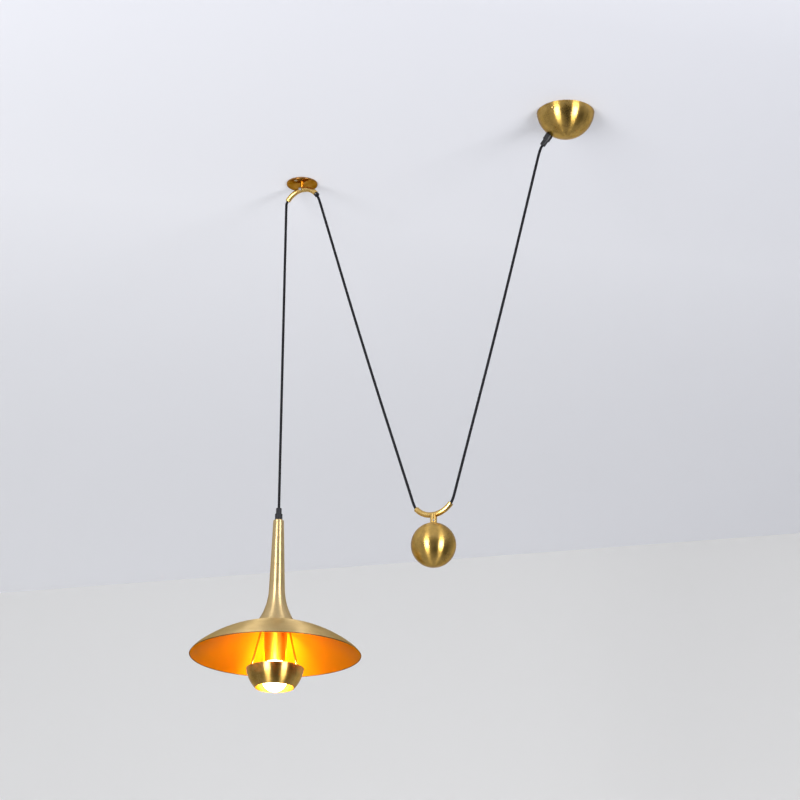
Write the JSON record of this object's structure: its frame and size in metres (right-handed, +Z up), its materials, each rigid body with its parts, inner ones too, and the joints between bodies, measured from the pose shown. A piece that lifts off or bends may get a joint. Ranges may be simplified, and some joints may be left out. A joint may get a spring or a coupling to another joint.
{
  "type": "rise and fall pendant",
  "caption": "Rise and fall pendant: a dome lamp with an open reflector cup hangs on a cord led over a bent ceiling tube and through a ball counterweight to a canopy.",
  "frame": {"origin": "centre of the canopy's ceiling face, in the ceiling's plane", "axes": "+Z up into the ceiling; the second ceiling plate and the lamp lie towards -X"},
  "size_m": [0.9347, 0.356, 1.1821],
  "materials": {
    "antique_brass": "satin, aged",
    "polished_brass": "polished",
    "champagne_brass": "satin",
    "steel": "zinc plated",
    "contact_brass": "bright",
    "black_plastic": "matte",
    "white_plastic": "matte",
    "black_braid": "braided textile",
    "opal_glass": "opal"
  },
  "bodies": {
    "ceiling": {"canopy_cup": "antique_brass", "canopy_side_screws": "antique_brass", "hook_plate": "polished_brass", "hook_stem": "polished_brass", "hook_tube": "polished_brass", "ceiling_bracket": "steel", "earth_screw": "steel", "canopy_grip_locknut": "steel", "hook_plate_screws": "steel", "hook_stem_screw": "steel", "hook_tube_screw": "steel", "terminal_screws": "contact_brass", "canopy_grip_body": "black_plastic", "canopy_grip_nose": "black_plastic", "terminal_block": "white_plastic", "cord_in_canopy": "black_braid", "cord_canopy_to_weight": "black_braid", "cord_weight_to_hook": "black_braid", "cord_in_hook": "black_braid", "cord_hook_to_lamp": "black_braid"},
    "lamp": {"lamp_grip_body": "black_plastic", "lamp_grip_nose": "black_plastic", "lamp_stem": "champagne_brass", "stem_coupling": "steel", "lamp_tube": "steel", "shade_dome": "champagne_brass", "rod_carrier": "champagne_brass", "cup_rods": "champagne_brass", "reflector_cup": "champagne_brass", "socket_cover": "champagne_brass", "clamp_nut": "steel", "lampholder_cap": "black_plastic", "lampholder_body": "black_plastic", "lampholder_screw_shell": "contact_brass", "lampholder_contact": "contact_brass", "bulb_cap": "contact_brass", "bulb_globe": "opal_glass", "cord_in_lamp": "black_braid"},
    "counterweight": {"weight_saddle_tube": "polished_brass", "weight_neck": "polished_brass", "weight_set_screw": "steel", "weight_stud": "steel", "weight_ball": "antique_brass", "weight_ballast": "steel", "cord_in_saddle": "black_braid"},
    "cord_stop": {"cord_stop": "black_plastic", "cord_stop_screw": "steel"}
  },
  "joints": [
    {"name": "lamp_rise", "type": "slide", "parent": "ceiling", "child": "lamp", "axis": [0, 0, 1], "range_m": [0, 0.45], "deforming": ["cord_hook_to_lamp"]},
    {"name": "weight_drop", "type": "slide", "parent": "ceiling", "child": "counterweight", "axis": [0, 0, 1], "range_m": [-0.2331, 0], "deforming": ["cord_canopy_to_weight", "cord_weight_to_hook"]},
    {"name": "stop_travel", "type": "slide", "parent": "ceiling", "child": "cord_stop", "axis": [0.2479, 0, -0.9688], "range_m": [0, 0.4507]}
  ],
  "couplings": [
    {"joint": "weight_drop", "follows": "lamp_rise", "ratio": -0.518},
    {"joint": "stop_travel", "follows": "lamp_rise", "ratio": 1.0015}
  ]
}
